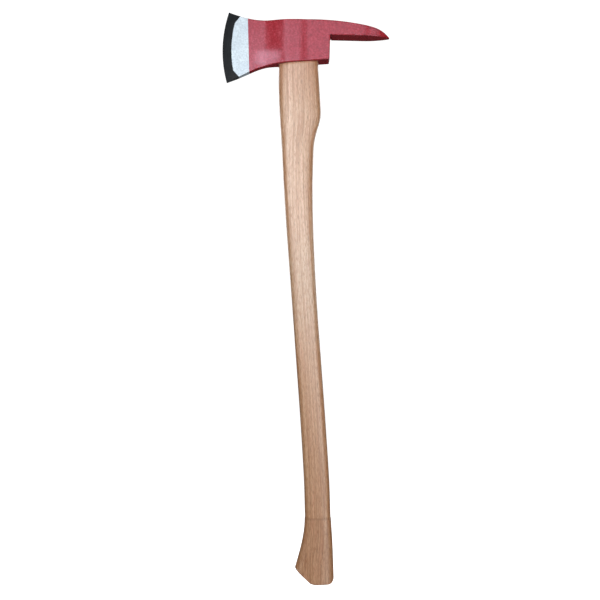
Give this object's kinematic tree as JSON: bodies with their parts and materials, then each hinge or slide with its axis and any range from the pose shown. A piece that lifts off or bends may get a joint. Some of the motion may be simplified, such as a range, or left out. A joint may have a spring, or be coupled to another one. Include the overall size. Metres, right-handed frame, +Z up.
{
  "type": "fire axe",
  "caption": "Pick-head fire axe: red forged head with a flared blade and a flat-bottomed pick, wedged onto a long curved hardwood handle with a fawn's-foot end.",
  "frame": {"origin": "centre of the eye at the underside of the head, where the handle enters it and a wall hanger or cabinet bracket carries the head", "axes": "-X towards the cutting edge and +X towards the pick, Y across the head's thickness, +Z up along the handle to the top of the head"},
  "size_m": [0.2717, 0.0376, 0.93],
  "materials": {
    "head": "semi-gloss red enamel, with a bare ground steel band behind a blackened cutting bevel",
    "handle": "lightly sealed straight-grained hardwood",
    "wooden_wedge": "raw end grain",
    "steel_wedge": "plain mild steel"
  },
  "bodies": {
    "root": {"axe_head": "head", "handle": "handle", "eye_wedge": "wooden_wedge", "steel_wedge_front": "steel_wedge", "steel_wedge_rear": "steel_wedge"}
  },
  "joints": []
}
